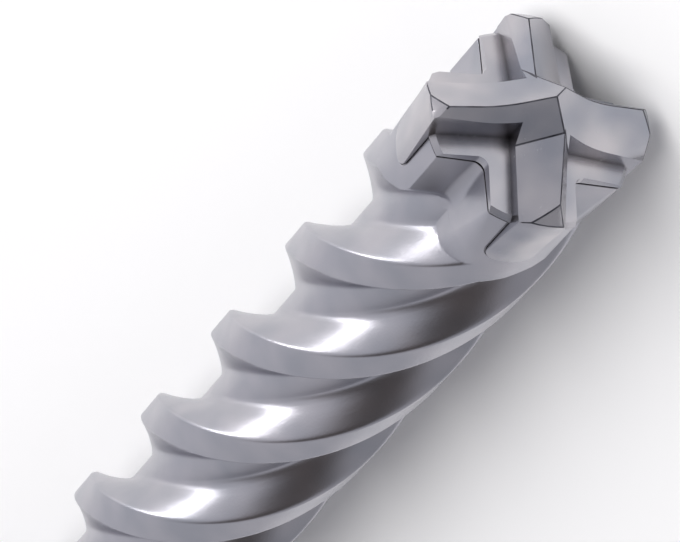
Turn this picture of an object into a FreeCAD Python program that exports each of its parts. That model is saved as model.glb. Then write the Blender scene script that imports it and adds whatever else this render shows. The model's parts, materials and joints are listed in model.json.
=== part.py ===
import FreeCAD, Part
import math
import os

from FreeCAD import Vector

# Masonry drill bit with a four-edged carbide head, in millimetres.
# It is drawn standing on its shank end, with the tip towards +Z and the main
# cutting edges along X, and is laid on its side at the end. There the axis is
# X, the tip points to +X and two of the four arms of the head point down.

# Lengths along the bit, from the shank end
overall_length = 160.0
flutes_start = 58.0

# Shank, for a hammer chuck that drives by two open grooves and locks by two
# closed ones
shank_diameter = 10.0
shank_end_bevel = 1.0
drive_groove_width = 2.7
drive_groove_depth = 1.55
drive_groove_length = 29.0
lock_groove_width = 5.0
lock_groove_depth = 1.5
lock_groove_start = 9.0
lock_groove_length = 19.0

# Flute spiral
spiral_diameter = 12.8
core_diameter = 8.3
spiral_lead = 48.7
flute_count = 4
land_angle = 24.0
flank_angle = 17.0
flank_extra = 0.4
land_start_angle = 45.0
lead_in_length = 3.0
core_flare_end = 69.0

# Carbide head: across its four arms, and heights below its main corners
cutting_diameter = 14.0
point_height = 2.0
blade_front = 1.2
blade_back = 1.7
ledge_front = 2.45
ledge_back = 3.0
ledge_corner_radius = 0.65
ledge_drop = 1.65
ledge_slope = 8.0
ledge_end_radius = 6.2
ledge_end_slope = 50.0
seam_drop = 2.85
root_drop = 7.0
root_corner_radius = 0.9
root_end_diameter = 12.94

# Roof of the main arms
main_edge_offset = 0.32
main_edge_skew = 4.1
main_edge_slope = 6.3
centre_slope = 31.0
centre_blend_radius = 6.0
main_corner_radius = 6.3
relief_slope = 33.0
rake_slope = 54.5
corner_bevel_slope = 50.0

# Roof of the side arms
side_edge_offset = 0.9
side_edge_skew = -5.0
side_edge_drop = 0.35
side_edge_slope = 10.5
side_corner_radius = 6.1

# Braze between carbide and steel: under the ledges, and round the root
seam_gap = 0.16
seam_inset = 0.14
root_gap = 0.08
root_inset = 0.06

# Steel head
notch_length = 7.35
half_notch_length = 9.85
half_notch_offset = 0.45
notch_edge_round_top = 0.3
notch_edge_round_foot = 3.0
spiral_overlap = 0.4

# Places that follow from the sizes above
MARGIN = 1.0
TOLERANCE = 0.01
ROOF_DEPTH = 28.0
FULL_TURN = 360.0
HALF_TURN = 180.0
QUARTER_TURN = 90.0
ARM_ANGLES = [0.0, 90.0, 180.0, 270.0]
MAIN_ARM_ANGLES = [0.0, 180.0]
SIDE_ARM_ANGLES = [90.0, 270.0]

spiral_radius = spiral_diameter / 2
core_radius = core_diameter / 2
shank_radius = shank_diameter / 2
cutting_radius = cutting_diameter / 2
corner_height = overall_length - point_height
seam_height = corner_height - seam_drop
steel_height = seam_height - seam_gap
root_height = corner_height - root_drop
notch_height = corner_height - notch_length
half_notch_height = corner_height - half_notch_length

ORIGIN = Vector(0, 0, 0)
UP = Vector(0, 0, 1)


def slope(degrees):
    """Rise per length of a slope given in degrees."""
    return math.tan(math.radians(degrees))


def turned(shape, degrees):
    """A copy of the shape, turned about the axis of the bit."""
    copy = shape.copy()
    copy.rotate(ORIGIN, UP, degrees)
    return copy


def polar(radius, degrees, height=0.0):
    """A point at a radius and an angle about the axis."""
    angle = math.radians(degrees)
    return Vector(radius * math.cos(angle), radius * math.sin(angle), height)


def fused(shapes):
    """One solid from several that overlap."""
    first, rest = shapes[0], shapes[1:]
    return first.fuse(rest).removeSplitter() if rest else first


def polygon_face(points):
    """A flat face inside straight edges."""
    return Part.Face(Part.makePolygon(points + [points[0]]))


def rounded_corner(before, corner, after, radius):
    """Where a rounded corner starts and ends, and its arc. With a radius of 0
    the corner stays sharp and has no arc."""
    if radius == 0:
        return corner, corner, []
    inward = (before - corner).normalize()
    outward = (after - corner).normalize()
    half_angle = inward.getAngle(outward) / 2
    reach = radius / math.tan(half_angle)
    towards_centre = (inward + outward).normalize()
    centre = corner + towards_centre * (radius / math.sin(half_angle))
    start = corner + inward * reach
    end = corner + outward * reach
    arc = Part.Arc(start, centre - towards_centre * radius, end)
    return start, end, [arc.toShape()]


def rounded_path(points, radii):
    """Straight edges through the points, rounded at each inner point."""
    edges = []
    position = points[0]
    for before, corner, after, radius in zip(points, points[1:], points[2:], radii):
        start, end, arc = rounded_corner(before, corner, after, radius)
        edges += [Part.makeLine(position, start)] + arc
        position = end
    return edges + [Part.makeLine(position, points[-1])]


def rounded_outline(points, radii):
    """A closed wire through the points, rounded at each of them."""
    following = points[1:] + points[:1]
    preceding = points[-1:] + points[:-1]
    corners = [rounded_corner(*corner) for corner in zip(preceding, points, following, radii)]
    edges = []
    for corner, next_corner in zip(corners, corners[1:] + corners[:1]):
        edges += corner[2] + [Part.makeLine(corner[1], next_corner[0])]
    return Part.Wire(edges)


def revolved(profile):
    """A solid turned from (radius, height) points, closed along the axis."""
    points = [Vector(radius, 0, height) for radius, height in profile]
    return polygon_face(points).revolve(ORIGIN, UP, FULL_TURN)


# Flute spiral

def rib_section():
    """The section of one land with its flanks. It reaches a little beyond the
    lands and below the core, which are turned round later."""
    first_foot = polar(core_radius, -flank_angle)
    first_crest = polar(spiral_radius, 0.0)
    last_crest = polar(spiral_radius, land_angle)
    last_foot = polar(core_radius, land_angle + flank_angle)
    points = []
    for foot, crest in ((first_foot, first_crest), (last_foot, last_crest)):
        outward = (crest - foot).normalize() * flank_extra
        points.append((foot - outward, crest + outward))
    (low_first, high_first), (low_last, high_last) = points
    return Part.makePolygon([low_first, high_first, high_last, low_last, low_first])


def rib(bottom, top):
    """One land, twisted along the axis at the spiral's lead. Level with the
    main corners, a land would start at the land's start angle."""
    height = top - bottom
    turns_below_corners = (corner_height - bottom) / spiral_lead
    section = rib_section()
    section.rotate(ORIGIN, UP, land_start_angle - turns_below_corners * FULL_TURN)
    spine = Part.Wire([Part.makeLine(ORIGIN, Vector(0, 0, height))])
    guide = Part.makeHelix(spiral_lead, height, spiral_radius)
    shell = Part.BRepOffsetAPI.MakePipeShell(spine)
    shell.setAuxiliarySpine(Part.Wire(guide.Edges), True, 0)
    shell.add(section)
    shell.build()
    shell.makeSolid()
    body = shell.shape()
    body.translate(Vector(0, 0, bottom))
    return body


def spiral(bottom, top):
    """Core and lands, turned to size, with a cone where the lands begin."""
    core = Part.makeCylinder(core_radius, top - bottom, Vector(0, 0, bottom))
    land = rib(bottom, top)
    lands = [turned(land, index * FULL_TURN / flute_count) for index in range(flute_count)]
    limit = revolved([
        (0, bottom),
        (shank_radius, bottom),
        (spiral_radius, bottom + lead_in_length),
        (spiral_radius, top),
        (0, top)])
    return core.fuse(lands).common(limit)


# Shank

def groove(width, depth, start, length, rounded_start):
    """A flat-floored groove along the shank, on the +X side. Its far end is
    half round, and its start too if asked."""
    radius = width / 2
    floor = shank_radius - depth
    first = start + radius if rounded_start else start
    last = start + length - radius
    space = Part.makeBox(
        depth + MARGIN, width, last - first,
        Vector(floor, -radius, first))
    rounded_ends = [first, last] if rounded_start else [last]
    return fused([space] + [
        Part.makeCylinder(radius, depth + MARGIN, Vector(floor, 0, height), Vector(1, 0, 0))
        for height in rounded_ends])


def shank():
    """The plain shank with its grooves, and a neck that runs into the core."""
    body = revolved([
        (0, 0),
        (shank_radius - shank_end_bevel, 0),
        (shank_radius, shank_end_bevel),
        (shank_radius, flutes_start),
        (core_radius, core_flare_end),
        (0, core_flare_end)])
    drive = groove(drive_groove_width, drive_groove_depth, -MARGIN,
                   drive_groove_length + MARGIN, False)
    lock = groove(lock_groove_width, lock_groove_depth, lock_groove_start,
                  lock_groove_length, True)
    for side in (0.0, HALF_TURN):
        body = body.cut(turned(drive, side))
        body = body.cut(turned(lock, side + QUARTER_TURN))
    return body


# Plan shapes of the head

def arm_block(front, back, inner, bottom, top, degrees):
    """A bar along one arm, from the inner radius out past the cutting circle.
    Its front is the side that cuts, and a negative size is past the middle."""
    bar = Part.makeBox(
        cutting_radius + MARGIN - inner, front + back, top - bottom,
        Vector(inner, -back, bottom))
    return turned(bar, degrees)


def cross_prism(front, back, corner_radius, bottom, top):
    """The four-armed outline with rounded inner corners, as an upright prism."""
    reach = cutting_radius + MARGIN
    points = []
    radii = []
    for degrees in ARM_ANGLES:
        spin = FreeCAD.Rotation(UP, degrees)
        points += [
            spin.multVec(Vector(reach, -back, bottom)),
            spin.multVec(Vector(reach, front, bottom)),
            spin.multVec(Vector(back, front, bottom))]
        radii += [0, 0, corner_radius]
    outline = rounded_outline(points, radii)
    return Part.Face(outline).extrude(Vector(0, 0, top - bottom))


# Roof of the head

def under_roof(profile_edges, floor, slant, offset, skew, degrees):
    """The space under a sloping roof face. The profile runs along the arm in
    the XZ plane, and is swept sideways along a slanted line that falls by the
    slant for each unit towards the cutting side."""
    first = profile_edges[0].Vertexes[0].Point
    last = profile_edges[-1].Vertexes[-1].Point
    if last.x < first.x:
        first, last = last, first
    low_first = Vector(first.x, 0, floor)
    low_last = Vector(last.x, 0, floor)
    outline = Part.Wire(Part.__sortEdges__(profile_edges + [
        Part.makeLine(first, low_first),
        Part.makeLine(low_first, low_last),
        Part.makeLine(low_last, last)]))
    step = Vector(0, cutting_diameter, -cutting_diameter * slant)
    face = Part.Face(outline)
    face.translate(Vector(0, offset, 0) - step)
    space = face.extrude(step * 2)
    return turned(space, degrees + skew)


def main_profile():
    """The line of a main cutting edge: nearly level outside, then rising
    smoothly to the centring point."""
    inner = -cutting_diameter
    outer = cutting_diameter
    fall = slope(main_edge_slope)
    climb = slope(centre_slope)
    outer_level = corner_height + fall * main_corner_radius
    inner_level = overall_length + climb * main_edge_offset
    meeting = (inner_level - outer_level) / (climb - fall)
    points = [
        Vector(inner, 0, inner_level - climb * inner),
        Vector(meeting, 0, inner_level - climb * meeting),
        Vector(outer, 0, outer_level - fall * outer)]
    return rounded_path(points, [centre_blend_radius])


def side_profile():
    """The line of a side arm's cutting edge."""
    outer = cutting_diameter
    fall = slope(side_edge_slope)
    level = corner_height - side_edge_drop + fall * side_corner_radius
    return [Part.makeLine(
        Vector(-outer, 0, level + fall * outer),
        Vector(outer, 0, level - fall * outer))]


def roof(profile, offset, skew, degrees):
    """The space under one arm's relief face and rake face."""
    floor = corner_height - ROOF_DEPTH
    relief = under_roof(profile, floor, -slope(relief_slope), offset, skew, degrees)
    rake = under_roof(profile, floor, slope(rake_slope), offset, skew, degrees)
    return relief.common(rake)


def end_limit(corner_radius, corner_level):
    """The turned outer form of an arm: a bevelled corner, then a side that
    tapers in to the foot of the root."""
    drop = (cutting_radius - corner_radius) * slope(corner_bevel_slope)
    rise = corner_radius * slope(corner_bevel_slope)
    return revolved([
        (0, root_height - MARGIN),
        (root_end_diameter / 2, root_height - MARGIN),
        (root_end_diameter / 2, root_height),
        (cutting_radius, corner_level - drop),
        (0, corner_level + rise)])


def blades():
    """The four raised blades with their ground faces, down to the seam. The
    side arms' own faces start at the axis, under the main arms' faces."""
    main = fused([
        arm_block(blade_front, blade_back, -blade_back, seam_height,
                  overall_length + MARGIN, degrees)
        for degrees in ARM_ANGLES])
    for degrees in MAIN_ARM_ANGLES:
        main = main.common(roof(main_profile(), main_edge_offset, main_edge_skew, degrees))
    main = main.common(end_limit(main_corner_radius, corner_height))
    side_limit = end_limit(side_corner_radius, corner_height - side_edge_drop)
    side_arms = []
    for degrees in SIDE_ARM_ANGLES:
        arm = arm_block(blade_front, blade_back, 0.0, seam_height,
                        overall_length + MARGIN, degrees)
        arm = arm.common(roof(side_profile(), side_edge_offset, side_edge_skew, degrees))
        side_arms.append(arm.common(side_limit))
    return fused([main] + side_arms)


def ledges():
    """The lower step round the blades, with bevelled ends."""
    fall = slope(ledge_slope)
    centre_level = corner_height - ledge_drop
    end_level = centre_level - fall * ledge_end_radius
    foot_radius = ledge_end_radius + (end_level - seam_height) / slope(ledge_end_slope)
    limit = revolved([
        (0, seam_height),
        (foot_radius, seam_height),
        (ledge_end_radius, end_level),
        (0, centre_level)])
    outline = cross_prism(ledge_front, ledge_back, ledge_corner_radius,
                          seam_height, corner_height)
    return outline.common(limit)


def root_bars(growth, bottom, top):
    """Upright bars with a rounded foot, crossed under the head. The growth
    widens and deepens them on every side."""
    front = blade_front + growth
    back = blade_back + growth
    radius = root_corner_radius + growth
    low = bottom - growth
    length = back + cutting_radius + MARGIN
    bars = []
    for degrees in ARM_ANGLES:
        points = [
            Vector(-back, -back, top),
            Vector(-back, -back, low),
            Vector(-back, front, low),
            Vector(-back, front, top)]
        edges = rounded_path(points, [radius, radius])
        edges.append(Part.makeLine(points[-1], points[0]))
        bar = Part.Face(Part.Wire(edges)).extrude(Vector(length, 0, 0))
        bars.append(turned(bar, degrees))
    return fused(bars)


def carbide_head():
    """Blades, ledges and root, pressed and ground as one piece."""
    root = root_bars(0.0, root_height, seam_height + MARGIN / 2)
    root = root.common(end_limit(main_corner_radius, corner_height))
    return fused([blades(), ledges(), root])


# Steel

def notch_edges(head):
    """The upright edges where the back of each arm meets the outside."""
    edges = []
    for edge in head.Edges:
        if abs(edge.tangentAt(edge.FirstParameter).z) < 1 - TOLERANCE:
            continue
        for degrees in ARM_ANGLES:
            place = FreeCAD.Rotation(UP, -degrees).multVec(edge.CenterOfMass)
            if place.x > core_radius and abs(place.y + ledge_back) < TOLERANCE:
                edges.append(edge)
    return edges


def steel_head():
    """The notched steel head. Behind each notch the flute takes over, and the
    back half of each arm runs on until the land has turned in under it. There
    the notch's edge grows rounder downwards, so its wall runs out into the
    outside."""
    front = cross_prism(ledge_front, ledge_back, ledge_corner_radius,
                        notch_height, steel_height)
    back_parts = [
        arm_block(-half_notch_offset, ledge_back, -ledge_back, half_notch_height,
                  notch_height + MARGIN, degrees)
        for degrees in ARM_ANGLES]
    cylinder = Part.makeCylinder(
        spiral_radius, steel_height - half_notch_height,
        Vector(0, 0, half_notch_height))
    head = fused([front] + back_parts).common(cylinder).removeSplitter()
    return head.makeFillet(notch_edge_round_foot, notch_edge_round_top, notch_edges(head))


def steel_body(slot):
    """Shank, spiral and head in one piece, with the slot for the carbide."""
    fluted = spiral(flutes_start, notch_height + spiral_overlap)
    return fused([shank(), fluted, steel_head()]).cut(slot)


def braze_seam(slot, carbide):
    """The thin joint round the root and under the ledges."""
    layer = cross_prism(ledge_front - seam_inset, ledge_back - seam_inset,
                        ledge_corner_radius, steel_height, seam_height)
    layer = layer.common(Part.makeCylinder(
        spiral_radius - seam_inset, seam_gap, Vector(0, 0, steel_height)))
    sleeve = slot.common(Part.makeCylinder(
        spiral_radius - root_inset, steel_height - root_height + MARGIN,
        Vector(0, 0, root_height - MARGIN)))
    return layer.fuse(sleeve).cut(carbide).removeSplitter()


def laid_down(shape):
    """The shape turned onto its side, with two arms of the head pointing down."""
    copy = shape.copy()
    copy.rotate(ORIGIN, Vector(0, 1, 0), QUARTER_TURN)
    copy.rotate(ORIGIN, Vector(1, 0, 0), -QUARTER_TURN / 2)
    return copy


def main():
    """Build the three pieces and write each to its own file."""
    slot = root_bars(root_gap, root_height, steel_height)
    carbide = carbide_head()
    nodes = {
        "steel_body": steel_body(slot),
        "carbide_head": carbide,
        "braze_seam": braze_seam(slot, carbide),
    }
    os.makedirs("parts", exist_ok=True)
    for name, shape in nodes.items():
        piece = laid_down(shape)
        piece.exportStep("parts/" + name + ".step")
        print(name, "solids", len(piece.Solids), "valid", piece.isValid(),
              "volume", round(piece.Volume, 2), "faces", len(piece.Faces))


main()
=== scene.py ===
"""A masonry drill bit lying on a pale studio floor, its carbide head towards the camera."""

import json
import logging
import math
from dataclasses import dataclass
from enum import Enum

import bmesh
import bpy
from mathutils import Matrix, Vector

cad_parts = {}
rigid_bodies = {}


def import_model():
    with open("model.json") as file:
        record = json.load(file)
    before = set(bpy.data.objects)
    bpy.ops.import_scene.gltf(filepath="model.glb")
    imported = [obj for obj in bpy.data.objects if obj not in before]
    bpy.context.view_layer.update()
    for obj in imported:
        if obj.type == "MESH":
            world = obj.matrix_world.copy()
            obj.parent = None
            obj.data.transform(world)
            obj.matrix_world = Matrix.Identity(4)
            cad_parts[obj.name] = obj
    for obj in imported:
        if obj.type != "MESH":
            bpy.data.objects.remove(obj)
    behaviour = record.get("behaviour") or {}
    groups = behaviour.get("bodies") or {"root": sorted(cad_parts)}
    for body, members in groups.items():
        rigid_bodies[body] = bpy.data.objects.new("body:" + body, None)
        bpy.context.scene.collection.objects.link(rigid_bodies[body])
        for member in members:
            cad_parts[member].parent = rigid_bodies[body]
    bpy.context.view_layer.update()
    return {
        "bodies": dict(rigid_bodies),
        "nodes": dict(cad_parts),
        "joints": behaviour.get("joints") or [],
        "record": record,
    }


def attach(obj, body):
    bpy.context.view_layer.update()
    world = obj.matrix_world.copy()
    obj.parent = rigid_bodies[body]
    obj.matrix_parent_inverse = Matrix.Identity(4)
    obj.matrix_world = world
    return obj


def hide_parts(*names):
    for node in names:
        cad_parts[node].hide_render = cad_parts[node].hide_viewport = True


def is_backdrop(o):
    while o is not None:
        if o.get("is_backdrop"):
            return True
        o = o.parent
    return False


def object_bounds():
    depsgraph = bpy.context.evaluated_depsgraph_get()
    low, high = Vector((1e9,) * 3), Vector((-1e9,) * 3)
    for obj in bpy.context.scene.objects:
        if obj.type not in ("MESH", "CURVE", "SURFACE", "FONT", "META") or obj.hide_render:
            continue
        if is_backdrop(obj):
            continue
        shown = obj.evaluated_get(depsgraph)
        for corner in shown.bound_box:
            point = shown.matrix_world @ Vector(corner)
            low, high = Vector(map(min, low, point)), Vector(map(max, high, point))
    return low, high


LOG = logging.getLogger("drill_bit")

MM = 0.001
FULL_TURN = 360.0
ARM_ANGLES = (0.0, 90.0, 180.0, 270.0)
LAID_DOWN = (
    Matrix.Rotation(math.radians(-45.0), 4, "X") @ Matrix.Rotation(math.radians(90.0), 4, "Y"))

Ring = list[Vector]
Tint = tuple[float, float, float]
Triple = tuple[float, float, float]


class Join(Enum):
    """How one solid is worked into another."""

    ADD = "UNION"
    CUT = "DIFFERENCE"


class Grain(Enum):
    """Which way the fine marks of a finish run along the bit's own axes."""

    EVEN = (1.0, 1.0, 1.0)
    AROUND = (1.0, 0.2, 0.2)


def polar(radius: float, degrees: float, height: float) -> Vector:
    """A point beside the upright bit's axis.

    Args:
        radius: distance from the axis, in millimetres.
        degrees: angle about the axis, from the first main arm.
        height: height above the shank's end.

    Returns:
        The point, in millimetres.
    """
    angle = math.radians(degrees)
    return Vector((radius * math.cos(angle), radius * math.sin(angle), height))


def swung(point: Vector, degrees: float) -> Vector:
    """The point turned about the bit's axis.

    Args:
        point: a point of the upright bit.
        degrees: the turn.

    Returns:
        The turned point.
    """
    return Matrix.Rotation(math.radians(degrees), 3, "Z") @ point


def between(start: float, end: float, share: float) -> float:
    """The value at a share of the way from start to end.

    Args:
        start: value at share 0.
        end: value at share 1.
        share: how far along, from 0 to 1.

    Returns:
        The value there.
    """
    return start + (end - start) * share


def soft_least(first: float, second: float, blend: float) -> float:
    """The lesser of two values, eased where they are within the blend.

    Args:
        first: one value.
        second: the other value.
        blend: how near they are when the easing starts.

    Returns:
        The eased lesser value.
    """
    nearness = max(blend - abs(first - second), 0.0) / blend
    return min(first, second) - nearness * nearness * blend / 4


def soft_most(first: float, second: float, blend: float) -> float:
    """The greater of two values, eased where they are within the blend.

    Args:
        first: one value.
        second: the other value.
        blend: how near they are when the easing starts.

    Returns:
        The eased greater value.
    """
    return -soft_least(-first, -second, blend)


def ring_solid(name: str, rings: list[Ring]) -> bpy.types.Object:
    """A closed solid skinned over rings that have the same number of points.

    Args:
        name: name of the new object.
        rings: the rings from bottom to top, in millimetres, each counterclockwise.

    Returns:
        The object, laid down in the row frame, in metres.
    """
    count = len(rings[0])
    vertices = [LAID_DOWN @ point * MM for ring in rings for point in ring]
    faces = [tuple(reversed(range(count)))]
    for level in range(len(rings) - 1):
        low = level * count
        high = low + count
        for index in range(count):
            after = (index + 1) % count
            faces.append((low + index, low + after, high + after, high + index))
    top = (len(rings) - 1) * count
    faces.append(tuple(range(top, top + count)))
    mesh = bpy.data.meshes.new(name)
    mesh.from_pydata(vertices, [], faces)
    mesh.validate()
    piece = bpy.data.objects.new(name, mesh)
    bpy.context.scene.collection.objects.link(piece)
    return piece


def worked(base: bpy.types.Object, tools: list[bpy.types.Object], how: Join) -> bpy.types.Object:
    """Adds solids to a base or cuts them from it, and removes them.

    Args:
        base: the solid that stays.
        tools: the solids that are added or cut away.
        how: whether they are added or cut.

    Returns:
        The base, with its new mesh.
    """
    for tool in tools:
        modifier = base.modifiers.new("work", "BOOLEAN")
        modifier.operation = how.value
        modifier.solver = "MANIFOLD"
        modifier.object = tool
    settle(base)
    for tool in tools:
        bpy.data.objects.remove(tool)
    return base


def settle(piece: bpy.types.Object) -> None:
    """Makes the result of a piece's modifiers its own mesh.

    Args:
        piece: the object whose modifiers are applied.
    """
    graph = bpy.context.evaluated_depsgraph_get()
    result = bpy.data.meshes.new_from_object(piece.evaluated_get(graph))
    piece.modifiers.clear()
    piece.data = result


def shade(piece: bpy.types.Object, crease_degrees: float) -> None:
    """Smooth shading that stays crisp at creases.

    Args:
        piece: the object to shade.
        crease_degrees: edges that turn more than this stay crisp.
    """
    piece.data.shade_smooth()
    piece.data.set_sharp_from_angle(angle=math.radians(crease_degrees))


@dataclass(frozen=True)
class Finish:
    """A metal surface: its colour, with shade painted into its corners and hollows, its gloss and
    fine relief.
    """

    name: str
    light: Tint
    dark: Tint
    patch_size: float
    roughness: float
    roughness_spread: float
    grain: Grain
    grain_size: float
    grain_depth: float
    edge_round: float
    # Reach, tint, strength and samples of the shade painted into corners and hollows.
    painted_shade_depth: float
    painted_shade_tint: Tint = (0.035, 0.028, 0.025)
    painted_shade_range: tuple[float, float] = (0.15, 0.8)
    painted_shade_samples: int = 12
    patch_range: tuple[float, float] = (0.3, 0.7)
    patch_detail: float = 1.5
    grain_detail: float = 4.0
    edge_samples: int = 6
    metallic: float = 1.0

    def material(self) -> bpy.types.Material:
        """Builds the finish as a node material.

        Returns:
            The material.
        """
        material = bpy.data.materials.new(self.name)
        material.use_nodes = True
        nodes = material.node_tree.nodes
        links = material.node_tree.links
        shader = nodes["Principled BSDF"]
        shader.inputs["Metallic"].default_value = self.metallic
        place = nodes.new("ShaderNodeTexCoord")
        stretch = nodes.new("ShaderNodeMapping")
        stretch.inputs["Scale"].default_value = self.grain.value
        links.new(place.outputs["Object"], stretch.inputs["Vector"])

        patches = self.noise(
            material, place.outputs["Object"], self.patch_size, self.patch_detail)
        colours = nodes.new("ShaderNodeValToRGB")
        stops = colours.color_ramp.elements
        for stop, position, tint in zip(stops, self.patch_range, (self.dark, self.light)):
            stop.position = position
            stop.color = (*tint, 1.0)
        links.new(patches.outputs["Fac"], colours.inputs["Fac"])
        # The base colour gets shade painted into its corners and hollows.
        links.new(self.painted_shade(material, colours.outputs["Color"]), shader.inputs["Base Color"])

        marks = self.noise(
            material, stretch.outputs["Vector"], self.grain_size, self.grain_detail)
        gloss = nodes.new("ShaderNodeMapRange")
        gloss.inputs["To Min"].default_value = self.roughness - self.roughness_spread
        gloss.inputs["To Max"].default_value = self.roughness + self.roughness_spread
        links.new(marks.outputs["Fac"], gloss.inputs["Value"])
        links.new(gloss.outputs["Result"], shader.inputs["Roughness"])

        relief = nodes.new("ShaderNodeBump")
        relief.inputs["Distance"].default_value = self.grain_depth * MM
        links.new(marks.outputs["Fac"], relief.inputs["Height"])
        links.new(relief.outputs["Normal"], shader.inputs["Normal"])
        if self.edge_round > 0.0:
            edges = nodes.new("ShaderNodeBevel")
            edges.samples = self.edge_samples
            edges.inputs["Radius"].default_value = self.edge_round * MM
            links.new(edges.outputs["Normal"], relief.inputs["Normal"])
        return material

    def painted_shade(
        self, material: bpy.types.Material, colour: bpy.types.NodeSocket,
    ) -> bpy.types.NodeSocket:
        """Paints shade into a colour: darkens it in the corners and hollows that ambient occlusion
        finds closed in.

        Args:
            material: the material that it goes into.
            colour: the surface's own colour, before the painted shade.

        Returns:
            The colour with painted shade.
        """
        nodes = material.node_tree.nodes
        links = material.node_tree.links
        # Ambient occlusion decides where the shade is painted into the colour.
        open_share = nodes.new("ShaderNodeAmbientOcclusion")
        open_share.samples = self.painted_shade_samples
        open_share.inputs["Distance"].default_value = self.painted_shade_depth * MM
        amount = nodes.new("ShaderNodeMapRange")
        amount.inputs["From Min"].default_value = self.painted_shade_range[0]
        amount.inputs["From Max"].default_value = self.painted_shade_range[1]
        painted_shade_mix = nodes.new("ShaderNodeMix")
        painted_shade_mix.data_type = "RGBA"
        painted_shade_mix.inputs["A"].default_value = (*self.painted_shade_tint, 1.0)
        links.new(open_share.outputs["AO"], amount.inputs["Value"])
        links.new(amount.outputs["Result"], painted_shade_mix.inputs["Factor"])
        links.new(colour, painted_shade_mix.inputs["B"])
        return painted_shade_mix.outputs["Result"]

    def noise(
        self,
        material: bpy.types.Material,
        place: bpy.types.NodeSocket,
        size: float,
        detail: float,
    ) -> bpy.types.Node:
        """Adds a noise texture.

        Args:
            material: the material that it goes into.
            place: the coordinates that it reads.
            size: size of its blotches, in millimetres.
            detail: how much finer noise is added.

        Returns:
            The texture node.
        """
        texture = material.node_tree.nodes.new("ShaderNodeTexNoise")
        texture.inputs["Scale"].default_value = 1.0 / (size * MM)
        texture.inputs["Detail"].default_value = detail
        material.node_tree.links.new(place, texture.inputs["Vector"])
        return texture


BLASTED_STEEL = Finish(
    name="fine blasted steel",
    light=(0.475, 0.465, 0.5),
    dark=(0.385, 0.39, 0.43),
    patch_size=3.0,
    roughness=0.31,
    roughness_spread=0.05,
    grain=Grain.EVEN,
    grain_size=0.13,
    grain_depth=0.006,
    edge_round=0.09,
    # Shade is painted up to 2 mm into the flutes, grooves and notches.
    painted_shade_depth=2.0,
)
GROUND_CARBIDE = Finish(
    name="ground carbide",
    light=(0.54, 0.52, 0.54),
    dark=(0.33, 0.34, 0.385),
    patch_size=3.4,
    roughness=0.26,
    roughness_spread=0.03,
    grain=Grain.AROUND,
    grain_size=0.08,
    grain_depth=0.0012,
    edge_round=0.0,
    painted_shade_depth=1.1,
)
# The bevels on the ground edges are painted near black. This stands in for the dark reflection
# line along each edge.
CARBIDE_EDGE_PAINTED_DARK = Finish(
    name="carbide edge painted dark as reflection",
    light=(0.15, 0.15, 0.17),
    dark=(0.045, 0.045, 0.055),
    patch_size=0.9,
    roughness=0.45,
    roughness_spread=0.05,
    grain=Grain.EVEN,
    grain_size=0.08,
    grain_depth=0.001,
    edge_round=0.0,
    painted_shade_depth=1.1,
)
DARK_BRAZE = Finish(
    name="dark braze",
    light=(0.05, 0.045, 0.045),
    dark=(0.02, 0.018, 0.018),
    patch_size=0.8,
    roughness=0.6,
    roughness_spread=0.1,
    grain=Grain.EVEN,
    grain_size=0.12,
    grain_depth=0.01,
    edge_round=0.0,
    painted_shade_depth=1.1,
)


@dataclass
class Shank:
    """The round shank, with open drive grooves and closed lock grooves, in millimetres."""

    diameter: float = 10.0
    length: float = 58.0
    end_bevel: float = 1.0
    drive_width: float = 2.7
    drive_depth: float = 1.55
    drive_length: float = 29.0
    lock_width: float = 5.0
    lock_depth: float = 1.5
    lock_start: float = 9.0
    lock_length: float = 19.0
    groove_overshoot: float = 1.0
    groove_steps: int = 16
    plain_rings: int = 12

    def rings(self, angles: list[float]) -> list[Ring]:
        """The shank's rings, up to where the flutes start.

        Args:
            angles: the angles of the points on each ring.

        Returns:
            The rings, from the end up.
        """
        radius = self.diameter / 2
        profile = [(radius - self.end_bevel, 0.0), (radius, self.end_bevel)]
        for index in range(1, self.plain_rings):
            share = index / self.plain_rings
            profile.append((radius, between(self.end_bevel, self.length, share)))
        return [[polar(ring_radius, degrees, height) for degrees in angles]
                for ring_radius, height in profile]

    def groove(
        self, name: str, width: float, depth: float, start: float, end: float, degrees: float,
    ) -> bpy.types.Object:
        """A solid in the shape of one groove, half round at both ends.

        Args:
            name: name of the solid.
            width: width of the groove.
            depth: depth of the groove.
            start: height of its lower end.
            end: height of its upper end.
            degrees: the side of the shank that it is on.

        Returns:
            The solid.
        """
        radius = width / 2
        outline = []
        for centre, first in ((end - radius, 0.0), (start + radius, 180.0)):
            for step in range(self.groove_steps + 1):
                angle = math.radians(first + 180.0 * step / self.groove_steps)
                outline.append((radius * math.cos(angle), centre + radius * math.sin(angle)))
        floor = self.diameter / 2 - depth
        rings = [
            [swung(Vector((out, across, height)), degrees) for across, height in outline]
            for out in (floor, self.diameter / 2 + self.groove_overshoot)]
        return ring_solid(name, rings)

    def grooves(self) -> list[bpy.types.Object]:
        """The two drive grooves and the two lock grooves.

        Returns:
            Their solids, to cut from the shank.
        """
        solids = []
        for side in (0.0, 180.0):
            solids.append(self.groove(
                "drive_groove", self.drive_width, self.drive_depth, -self.drive_width,
                self.drive_length, side))
            solids.append(self.groove(
                "lock_groove", self.lock_width, self.lock_depth, self.lock_start,
                self.lock_start + self.lock_length, side + 90.0))
        return solids


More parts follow.
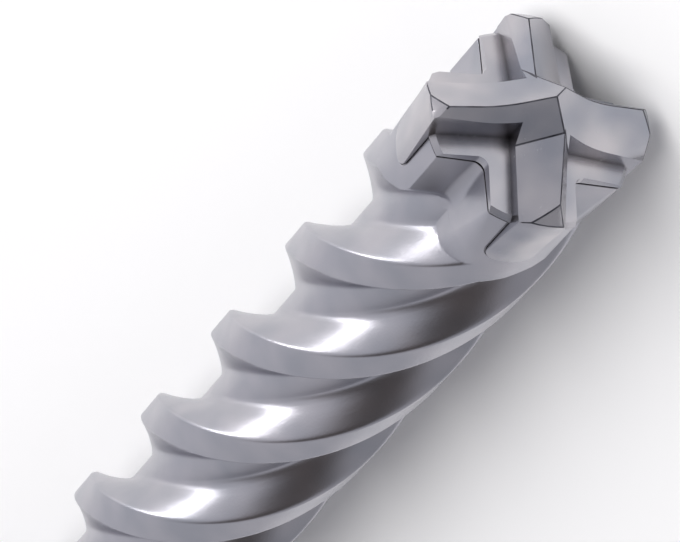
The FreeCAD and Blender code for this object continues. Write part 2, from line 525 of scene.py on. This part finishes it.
@dataclass
class FluteSpiral:
    """The core with its four twisted lands, in millimetres."""

    diameter: float = 12.8
    core_diameter: float = 8.3
    lead: float = 48.7
    lands: int = 4
    land_angle: float = 24.0
    flank_angle: float = 17.0
    land_start_angle: float = 45.0
    angle_height: float = 158.0
    neck_diameter: float = 10.0
    lead_in_length: float = 3.0
    core_flare_length: float = 11.0
    edge_blend: float = 0.22
    floor_blend: float = 0.5
    ring_step: float = 0.45
    edge_offsets: tuple[float, ...] = (
        -3.2, -2.4, -1.7, -1.1, -0.6, -0.2, 0.2, 0.6, 1.1, 1.7, 2.6)
    edge_zone: float = 3.2
    land_shares: tuple[float, ...] = (0.2, 0.32, 0.44, 0.56, 0.68, 0.8)
    flute_steps: int = 22

    def phases(self) -> list[float]:
        """Where the points of a ring stand, counted from the start of a land.

        Returns:
            The angles for one land and one flute, closer at the land's edges.
        """
        pitch = FULL_TURN / self.lands
        first_edge = [step if step > 0 else pitch + step for step in self.edge_offsets]
        last_edge = [self.land_angle - step for step in self.edge_offsets]
        land = [self.land_angle * share for share in self.land_shares]
        flute_start = self.land_angle + self.edge_zone
        flute_end = pitch - self.edge_zone
        flute = [
            between(flute_start, flute_end, index / self.flute_steps)
            for index in range(1, self.flute_steps)]
        return sorted(first_edge + last_edge + land + flute)

    def radius_at(self, phase: float) -> float:
        """Radius of the fluted section.

        Args:
            phase: angle from the start of a land.

        Returns:
            The radius there.
        """
        pitch = FULL_TURN / self.lands
        outer = self.diameter / 2
        core = self.core_diameter / 2
        if phase > self.land_angle:
            run = min(phase - self.land_angle, pitch - phase)
        else:
            run = -min(phase, self.land_angle - phase)
        flank = outer - (outer - core) * run / self.flank_angle
        return soft_most(core, soft_least(outer, flank, self.edge_blend), self.floor_blend)

    def angles_at(self, height: float) -> list[float]:
        """Angles of a ring's points, which turn with the spiral.

        Args:
            height: height of the ring.

        Returns:
            The angles about the axis.
        """
        pitch = FULL_TURN / self.lands
        twist = self.land_start_angle - (self.angle_height - height) / self.lead * FULL_TURN
        return [
            twist + land * pitch + phase
            for land in range(self.lands) for phase in self.phases()]

    def rings(self, bottom: float, top: float) -> list[Ring]:
        """The rings of the fluted length.

        Args:
            bottom: height where the flutes start.
            top: height where the spiral ends, inside the head.

        Returns:
            The rings, from the bottom up.
        """
        radii = [self.radius_at(phase) for phase in self.phases()] * self.lands
        outer = self.diameter / 2
        neck = self.neck_diameter / 2
        core = self.core_diameter / 2
        count = round((top - bottom) / self.ring_step)
        rings = []
        for level in range(count + 1):
            height = between(bottom, top, level / count)
            rise = height - bottom
            cone = between(neck, outer, min(rise / self.lead_in_length, 1.0))
            flare = between(neck, core, min(rise / self.core_flare_length, 1.0))
            angles = self.angles_at(height)
            rings.append([
                polar(max(min(radius, cone), flare), degrees, height)
                for radius, degrees in zip(radii, angles)])
        return rings


@dataclass
class SteelHead:
    """The notched steel head that carries the carbide, in millimetres."""

    diameter: float = 12.8
    top: float = 154.99
    foot: float = 148.15
    front: float = 2.45
    back: float = 3.0
    inner_round: float = 0.65
    inner_round_foot: float = 1.2
    edge_round_top: float = 0.3
    edge_round_foot: float = 2.5
    front_run_out: tuple[tuple[float, float], ...] = (
        (151.0, 2.45), (150.16, 2.08), (148.9, 0.78), (148.15, -0.45))
    slot_front: float = 1.28
    slot_back: float = 1.78
    slot_foot: float = 150.92
    slot_round: float = 0.98
    slot_overshoot: float = 1.0
    levels: int = 36
    arc_steps: int = 12
    fillet_steps: int = 8

    def front_at(self, height: float) -> float:
        """How far the cutting side of an arm reaches across, at a height.

        Args:
            height: height above the shank's end.

        Returns:
            The reach from the arm's middle line.
        """
        steps = zip(self.front_run_out, self.front_run_out[1:])
        for (high, high_reach), (low, low_reach) in steps:
            if low <= height < high:
                return between(low_reach, high_reach, (height - low) / (high - low))
        return self.front

    def quadrant(self, height: float) -> Ring:
        """The outline of the first arm and the notch after it.

        Args:
            height: height of the outline.

        Returns:
            Its points, counterclockwise.
        """
        outer = self.diameter / 2
        fall = (self.top - height) / (self.top - self.foot)
        edge_round = between(self.edge_round_top, self.edge_round_foot, fall)
        inner_round = between(self.inner_round, self.inner_round_foot, fall)
        front = self.front_at(height)
        middle = Vector((
            math.sqrt((outer - edge_round) ** 2 - (self.back - edge_round) ** 2),
            edge_round - self.back, 0.0))
        points = []
        last = math.degrees(math.atan2(middle.y, middle.x))
        for step in range(self.arc_steps + 1):
            degrees = between(-90.0, last, step / self.arc_steps)
            points.append(middle + polar(edge_round, degrees, 0.0))
        corner = math.degrees(math.asin(front / outer))
        for step in range(1, self.arc_steps + 1):
            points.append(polar(outer, between(last, corner, step / self.arc_steps), 0.0))
        fillet = Vector((self.back + inner_round, front + inner_round, 0.0))
        for step in range(self.fillet_steps + 1):
            degrees = between(270.0, 180.0, step / self.fillet_steps)
            points.append(fillet + polar(inner_round, degrees, 0.0))
        return [Vector((point.x, point.y, height)) for point in points]

    def solid(self) -> bpy.types.Object:
        """The head's solid, with its notches.

        Returns:
            The solid, to add to the fluted length.
        """
        rings = []
        for level in range(self.levels + 1):
            outline = self.quadrant(between(self.foot, self.top, level / self.levels))
            rings.append([swung(point, degrees) for degrees in ARM_ANGLES for point in outline])
        return ring_solid("steel_head", rings)

    def slots(self) -> list[bpy.types.Object]:
        """The four slots with a rounded foot that the carbide's root stands in.

        Returns:
            Their solids, to cut from the head.
        """
        outline = [(-self.slot_back, self.top + self.slot_overshoot)]
        corners = (
            (self.slot_round - self.slot_back, 180.0), (self.slot_front - self.slot_round, 270.0))
        for centre, first in corners:
            for step in range(self.fillet_steps + 1):
                angle = math.radians(first + 90.0 * step / self.fillet_steps)
                outline.append((
                    centre + self.slot_round * math.cos(angle),
                    self.slot_foot + self.slot_round + self.slot_round * math.sin(angle)))
        outline.append((self.slot_front, self.top + self.slot_overshoot))
        solids = []
        for degrees in ARM_ANGLES:
            rings = [
                [swung(Vector((out, across, height)), degrees) for across, height in outline]
                for out in (-self.slot_back, self.diameter / 2 + self.slot_overshoot)]
            solids.append(ring_solid("carbide_slot", rings))
        return solids


@dataclass
class SteelBody:
    """Shank, flutes and head, made as one piece of blasted steel."""

    shank: Shank
    spiral: FluteSpiral
    head: SteelHead
    spiral_top: float = 151.0
    crease_degrees: float = 38.0

    def build(self, finish: bpy.types.Material) -> bpy.types.Object:
        """Builds the steel and puts it in place of its CAD node.

        Args:
            finish: the steel's material.

        Returns:
            The steel piece.
        """
        start_angles = self.spiral.angles_at(self.shank.length)
        rings = self.shank.rings(start_angles)
        rings += self.spiral.rings(self.shank.length, self.spiral_top)
        steel = ring_solid("blasted_steel_body", rings)
        worked(steel, [self.head.solid()], Join.ADD)
        worked(steel, self.shank.grooves() + self.head.slots(), Join.CUT)
        shade(steel, self.crease_degrees)
        steel.data.materials.clear()
        steel.data.materials.append(finish)
        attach(steel, "root")
        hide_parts("steel_body")
        return steel


@dataclass
class CarbideHead:
    """The carbide head: ground faces with broken edges, whose bevels are painted dark as a
    reflection line, and a root blasted with the steel.

    Edges that turn by more than edge_degrees above the seam are broken, apart from ends
    shorter than the loose length that lead to no other broken edge. Sizes are in millimetres.
    """

    edge_width: float = 0.06
    edge_steps: int = 2
    edge_degrees: float = 14.0
    crease_degrees: float = 8.0
    loose_length: float = 0.7
    flat_degrees: float = 0.5
    weld: float = 0.002
    root_top: float = 155.15
    tolerance: float = 0.02
    face_weight: int = 80

    def form(self, node: bpy.types.Object) -> bpy.types.Mesh:
        """Cleans the CAD form and marks the edges that are broken.

        Args:
            node: the carbide's CAD node.

        Returns:
            The mesh, whose root faces have the third finish.
        """
        form = bmesh.new()
        form.from_mesh(node.data)
        bmesh.ops.remove_doubles(form, verts=form.verts, dist=self.weld * MM)
        bmesh.ops.dissolve_limit(
            form, angle_limit=math.radians(self.flat_degrees), verts=form.verts, edges=form.edges)
        level = (self.root_top - self.tolerance) * MM
        seam = (self.root_top + self.tolerance) * MM
        for face in form.faces:
            face.smooth = True
            face.material_index = 2 if min(vert.co.x for vert in face.verts) < level else 0
        broken = form.edges.layers.float.new("bevel_weight_edge")
        for edge in form.edges:
            turn = math.degrees(edge.calc_face_angle())
            lowest = min(vert.co.x for face in edge.link_faces for vert in face.verts)
            ground = turn > self.edge_degrees and lowest > seam
            edge[broken] = 1.0 if ground else 0.0
            edge.smooth = ground or turn < self.crease_degrees
        for edge in form.edges:
            ends = [sum(other[broken] for other in vert.link_edges) for vert in edge.verts]
            short = edge.calc_length() < self.loose_length * MM
            if edge[broken] and short and min(ends) <= 1.0:
                edge[broken] = 0.0
                edge.smooth = False
        mesh = bpy.data.meshes.new("ground_carbide_head")
        form.to_mesh(mesh)
        form.free()
        return mesh

    def build(self, frame: dict, finishes: list[bpy.types.Material]) -> bpy.types.Object:
        """Builds the head from the CAD form, with broken edges.

        Args:
            frame: the loaded frame.
            finishes: materials of the ground faces, the broken edges (painted dark as a reflection
                line) and the root.

        Returns:
            The carbide piece.
        """
        mesh = self.form(frame["nodes"]["carbide_head"])
        head = bpy.data.objects.new("ground_carbide_head", mesh)
        head.data.materials.clear()
        for finish in finishes:
            head.data.materials.append(finish)
        bpy.context.scene.collection.objects.link(head)
        broken = head.modifiers.new("broken edges", "BEVEL")
        broken.width = self.edge_width * MM
        broken.segments = self.edge_steps
        broken.limit_method = "WEIGHT"
        # The bevel's faces take the second finish: a painted dark reflection line.
        broken.material = 1
        broken.use_clamp_overlap = False
        even = head.modifiers.new("even faces", "WEIGHTED_NORMAL")
        even.mode = "FACE_AREA"
        even.weight = self.face_weight
        even.keep_sharp = True
        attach(head, "root")
        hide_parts("carbide_head")
        return head


@dataclass
class BrazeSeam:
    """The braze: a sooty line under the ledges, blasted clean round the root."""

    root_top: float = 154.99
    blend: float = 0.02

    def dress(
        self, frame: dict, sooty: bpy.types.Material, clean: Tint,
    ) -> bpy.types.Object:
        """Gives the CAD node its finish.

        Args:
            frame: the loaded frame.
            sooty: the braze's material, as it is under the ledges.
            clean: colour of the braze round the root.

        Returns:
            The seam.
        """
        nodes = sooty.node_tree.nodes
        links = sooty.node_tree.links
        shader = nodes["Principled BSDF"]
        # The braze's colour here already carries shade painted into its hollows.
        painted_shade_mix = shader.inputs["Base Color"].links[0].from_socket
        place = nodes.new("ShaderNodeTexCoord")
        parts = nodes.new("ShaderNodeSeparateXYZ")
        level = nodes.new("ShaderNodeMapRange")
        level.inputs["From Min"].default_value = (self.root_top - self.blend) * MM
        level.inputs["From Max"].default_value = (self.root_top + self.blend) * MM
        mix = nodes.new("ShaderNodeMix")
        mix.data_type = "RGBA"
        mix.inputs["A"].default_value = (*clean, 1.0)
        links.new(place.outputs["Object"], parts.inputs["Vector"])
        links.new(parts.outputs["X"], level.inputs["Value"])
        links.new(level.outputs["Result"], mix.inputs["Factor"])
        links.new(painted_shade_mix, mix.inputs["B"])
        links.new(mix.outputs["Result"], shader.inputs["Base Color"])
        seam = frame["nodes"]["braze_seam"]
        seam.data.materials.clear()
        seam.data.materials.append(sooty)
        return seam


@dataclass(frozen=True)
class Lamp:
    """A soft round lamp that faces the bit's head, in degrees, metres and watts."""

    name: str
    azimuth: float
    elevation: float
    distance: float
    size: float
    watts: float
    tint: Tint
    seen_in_metal: bool

    def hang(self, aim: Vector) -> bpy.types.Object:
        """Hangs the lamp.

        Args:
            aim: the point that it faces.

        Returns:
            The lamp.
        """
        flat = math.cos(math.radians(self.elevation)) * self.distance
        place = aim + Vector((
            flat * math.cos(math.radians(self.azimuth)),
            flat * math.sin(math.radians(self.azimuth)),
            self.distance * math.sin(math.radians(self.elevation))))
        data = bpy.data.lights.new(self.name, "AREA")
        data.shape = "DISK"
        data.size = self.size
        data.energy = self.watts
        data.color = self.tint
        lamp = bpy.data.objects.new(self.name, data)
        lamp.location = place
        lamp.rotation_euler = (aim - place).to_track_quat("-Z", "Y").to_euler()
        lamp.visible_glossy = self.seen_in_metal
        bpy.context.scene.collection.objects.link(lamp)
        return lamp


@dataclass
class Studio:
    """A pale floor, soft lamps and a grey surround that is dark overhead."""

    floor_level: float
    floor_size: float = 6.0
    floor_tint: Tint = (0.95, 0.95, 0.95)
    floor_roughness: float = 0.9
    ring_tint: Tint = (0.6, 0.6, 0.635)
    overhead_tint: Tint = (0.085, 0.07, 0.065)
    ring_top: float = 0.76
    overhead_start: float = 0.96
    side_gain: Triple = (-0.22, 0.3, 0.0)
    aim: Triple = (0.15, 0.0, 0.0)
    lamps: tuple[Lamp, ...] = (
        Lamp(
            name="front_lamp", azimuth=48.0, elevation=52.0, distance=0.9, size=0.9,
            watts=7.6, tint=(1.0, 0.99, 0.98), seen_in_metal=False),
        Lamp(
            name="low_side_lamp", azimuth=104.0, elevation=12.0, distance=0.5, size=0.12,
            watts=0.36, tint=(1.0, 0.985, 0.97), seen_in_metal=True),
    )

    def floor(self) -> bpy.types.Object:
        """Lays the floor that the bit rests on.

        Returns:
            The floor.
        """
        half = self.floor_size / 2
        corners = [(-half, -half, self.floor_level), (half, -half, self.floor_level),
                   (half, half, self.floor_level), (-half, half, self.floor_level)]
        mesh = bpy.data.meshes.new("pale_floor")
        mesh.from_pydata(corners, [], [(0, 1, 2, 3)])
        floor = bpy.data.objects.new("pale_floor", mesh)
        bpy.context.scene.collection.objects.link(floor)
        material = bpy.data.materials.new("pale floor paper")
        material.use_nodes = True
        shader = material.node_tree.nodes["Principled BSDF"]
        shader.inputs["Base Color"].default_value = (*self.floor_tint, 1.0)
        shader.inputs["Roughness"].default_value = self.floor_roughness
        shader.inputs["Specular IOR Level"].default_value = 0.0
        mesh.materials.append(material)
        floor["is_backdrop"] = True
        return floor

    def surround(self) -> bpy.types.World:
        """Sets a world with an even ring round the horizon, dark overhead and lighter to one side.

        Returns:
            The world.
        """
        world = bpy.data.worlds.new("studio surround")
        bpy.context.scene.world = world
        world.use_nodes = True
        nodes = world.node_tree.nodes
        links = world.node_tree.links
        place = nodes.new("ShaderNodeTexCoord")
        parts = nodes.new("ShaderNodeSeparateXYZ")
        ramp = nodes.new("ShaderNodeValToRGB")
        low, high = ramp.color_ramp.elements
        low.position = self.ring_top
        low.color = (*self.ring_tint, 1.0)
        high.position = self.overhead_start
        high.color = (*self.overhead_tint, 1.0)
        towards = nodes.new("ShaderNodeVectorMath")
        towards.operation = "DOT_PRODUCT"
        towards.inputs[1].default_value = self.side_gain
        side = nodes.new("ShaderNodeMath")
        side.inputs[1].default_value = 1.0
        links.new(place.outputs["Generated"], parts.inputs["Vector"])
        links.new(parts.outputs["Z"], ramp.inputs["Fac"])
        links.new(place.outputs["Generated"], towards.inputs[0])
        links.new(towards.outputs["Value"], side.inputs[0])
        links.new(ramp.outputs["Color"], nodes["Background"].inputs["Color"])
        links.new(side.outputs["Value"], nodes["Background"].inputs["Strength"])
        return world

    def build(self) -> None:
        """Lays the floor, sets the surround and hangs the lamps."""
        self.floor()
        self.surround()
        for lamp in self.lamps:
            lamp.hang(Vector(self.aim))


@dataclass
class PhotoCamera:
    """A long lens in front of the tip, turned so that the bit rises to the right."""

    place: Triple = (0.415881, -0.014757, 0.207729)
    turn_degrees: Triple = (-42.915, 36.269, -61.082)
    focal_length: float = 304.5
    sensor_width: float = 36.0
    nearest_seen: float = 0.01
    farthest_seen: float = 20.0

    def build(self) -> bpy.types.Object:
        """Sets up the scene's camera.

        Returns:
            The camera.
        """
        data = bpy.data.cameras.new("photo_camera")
        data.lens = self.focal_length
        data.sensor_width = self.sensor_width
        data.sensor_fit = "HORIZONTAL"
        data.clip_start = self.nearest_seen
        data.clip_end = self.farthest_seen
        camera = bpy.data.objects.new("photo_camera", data)
        bpy.context.scene.collection.objects.link(camera)
        camera.location = self.place
        camera.rotation_euler = [math.radians(angle) for angle in self.turn_degrees]
        bpy.context.scene.camera = camera
        return camera


def main() -> None:
    """Builds the bit and its studio, and reports each piece."""
    logging.basicConfig(level=logging.INFO, format="%(name)s: %(message)s")
    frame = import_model()
    bpy.context.scene.view_settings.view_transform = "Standard"
    PhotoCamera().build()
    steel = BLASTED_STEEL.material()
    pieces = [
        SteelBody(Shank(), FluteSpiral(), SteelHead()).build(steel),
        CarbideHead().build(frame, [GROUND_CARBIDE.material(), CARBIDE_EDGE_PAINTED_DARK.material(), steel]),
        BrazeSeam().dress(frame, DARK_BRAZE.material(), BLASTED_STEEL.light),
    ]
    for piece in pieces:
        LOG.info("%s: %d faces", piece.name, len(piece.data.polygons))
    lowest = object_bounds()[0]
    Studio(floor_level=lowest[2]).build()


if __name__ == "__main__":
    main()
